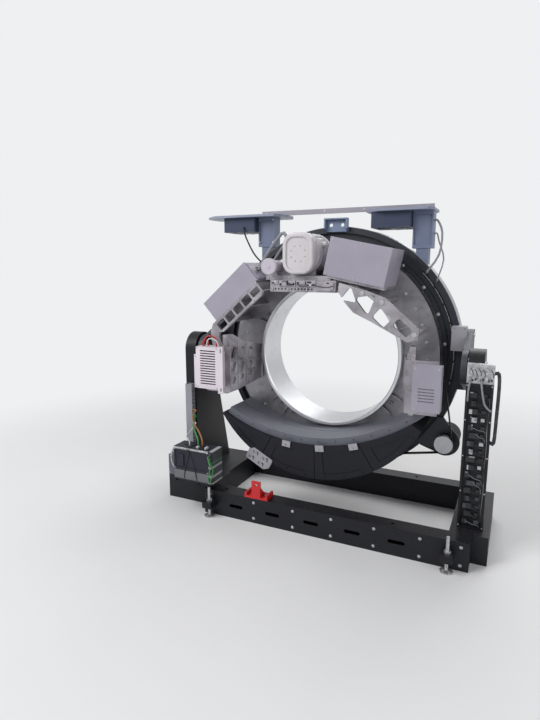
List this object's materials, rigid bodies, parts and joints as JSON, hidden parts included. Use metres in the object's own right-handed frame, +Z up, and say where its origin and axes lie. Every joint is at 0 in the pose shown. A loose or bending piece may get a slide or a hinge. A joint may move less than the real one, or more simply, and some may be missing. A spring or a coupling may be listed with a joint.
{
  "type": "ct scanner gantry",
  "caption": "Gantry of a medical CT scanner with its covers off: a ring tilts between two base columns, and a rotor with tube, tanks and detector arc spins in it.",
  "frame": {"origin": "on the floor below the isocentre, at the centre of the four floor anchor holes", "axes": "+X to the right seen from the front, +Y into the machine along the bore, +Z up; the front of the gantry faces -Y"},
  "size_m": [1.9605, 0.9709, 1.857],
  "materials": {
    "black_paint": "satin black powder coat",
    "plated_steel": "zinc plated",
    "red_paint": "gloss red paint",
    "drive_case": "matt black case",
    "fin_metal": "raw extruded aluminium",
    "connector_plastic": "moulded plastic",
    "duct_plastic": "grey slotted plastic",
    "terminal_plastic": "light grey plastic",
    "grey_paint": "light grey paint",
    "arm_paint": "dark grey paint",
    "belt_rubber": "ribbed rubber",
    "pulley_metal": "turned steel",
    "blue_grey_metal": "blue-grey sheet metal",
    "fan_plastic": "black plastic",
    "bar_paint": "grey paint",
    "cast_alloy": "cast, bead blasted",
    "polished_rim": "turned and polished",
    "slip_ring_resin": "moulded resin with contact tracks",
    "tube_enamel": "off-white enamel",
    "collimator_metal": "anodised",
    "tank_paint": "smooth grey paint",
    "exchanger_case": "off-white coat",
    "detector_coat": "dark grey coat",
    "cable_jacket": "extruded cable jackets",
    "cover_coat": "matt black covers"
  },
  "bodies": {
    "base": {"front_beam": "black_paint", "rear_beam": "black_paint", "plinth_left": "black_paint", "plinth_right": "black_paint", "column_left": "black_paint", "column_right": "black_paint", "levelling_feet": "plated_steel", "transport_lock": "red_paint", "servo_stand": "black_paint", "servo_drive": "drive_case", "servo_heat_sink": "fin_metal", "servo_connectors": "connector_plastic", "junction_box": "grey_paint", "cable_duct": "duct_plastic", "terminal_panel": "black_paint", "terminals": "terminal_plastic", "terminal_box": "grey_paint", "base_cables": "cable_jacket"},
    "tilt_frame": {"frame_ring": "black_paint", "ring_rim_band": "plated_steel", "bearing_outer": "plated_steel", "arm_left": "arm_paint", "arm_right": "arm_paint", "trunnions": "plated_steel", "motor_bracket": "arm_paint", "drive_motor": "drive_case", "drive_belt": "belt_rubber", "fan_posts": "blue_grey_metal", "fan_tray_left": "blue_grey_metal", "fan_tray_right": "blue_grey_metal", "fan_cases": "fan_plastic", "top_bar": "bar_paint", "ring_bracket": "blue_grey_metal", "ring_box": "grey_paint", "frame_cables": "cable_jacket"},
    "rotor": {"rotor_disc": "cast_alloy", "bore_rim": "polished_rim", "bearing_inner": "plated_steel", "slip_ring": "slip_ring_resin", "side_wall_left": "cast_alloy", "side_wall_right": "cast_alloy", "ladder_casting": "cast_alloy", "rib_casting": "cast_alloy", "tube_bench": "cast_alloy", "tube_housing": "tube_enamel", "tube_cap": "tube_enamel", "rotor_pump": "tube_enamel", "collimator": "collimator_metal", "tank_left": "tank_paint", "tank_right": "tank_paint", "heat_exchanger": "exchanger_case", "exchanger_core": "fin_metal", "inverter_box": "grey_paint", "detector": "detector_coat", "detector_covers": "cover_coat", "rotor_fittings": "plated_steel", "rotor_cables": "cable_jacket"},
    "drive_shaft": {"motor_pulley": "pulley_metal"},
    "fan_left": {"impeller_left": "fan_plastic"},
    "fan_right": {"impeller_right": "fan_plastic"}
  },
  "joints": [
    {"name": "gantry_tilt", "type": "hinge", "parent": "base", "child": "tilt_frame", "pos_m": [0, -0.09, 0.98], "axis": [1, 0, 0], "range_deg": [-20, 20]},
    {"name": "rotor_spin", "type": "hinge", "parent": "tilt_frame", "child": "rotor", "pos_m": [0, 0, 0.98], "axis": [0, 1, 0], "continuous": true},
    {"name": "motor_spin", "type": "hinge", "parent": "tilt_frame", "child": "drive_shaft", "pos_m": [0.69628, 0, 0.49246], "axis": [0, 1, 0], "continuous": true},
    {"name": "fan_left_spin", "type": "hinge", "parent": "tilt_frame", "child": "fan_left", "pos_m": [-0.649, 0.205, 1.74], "axis": [0, 0, 1], "continuous": true},
    {"name": "fan_right_spin", "type": "hinge", "parent": "tilt_frame", "child": "fan_right", "pos_m": [0.333, 0.205, 1.74], "axis": [0, 0, 1], "continuous": true}
  ],
  "couplings": [
    {"joint": "motor_spin", "follows": "rotor_spin", "ratio": 14.444}
  ]
}
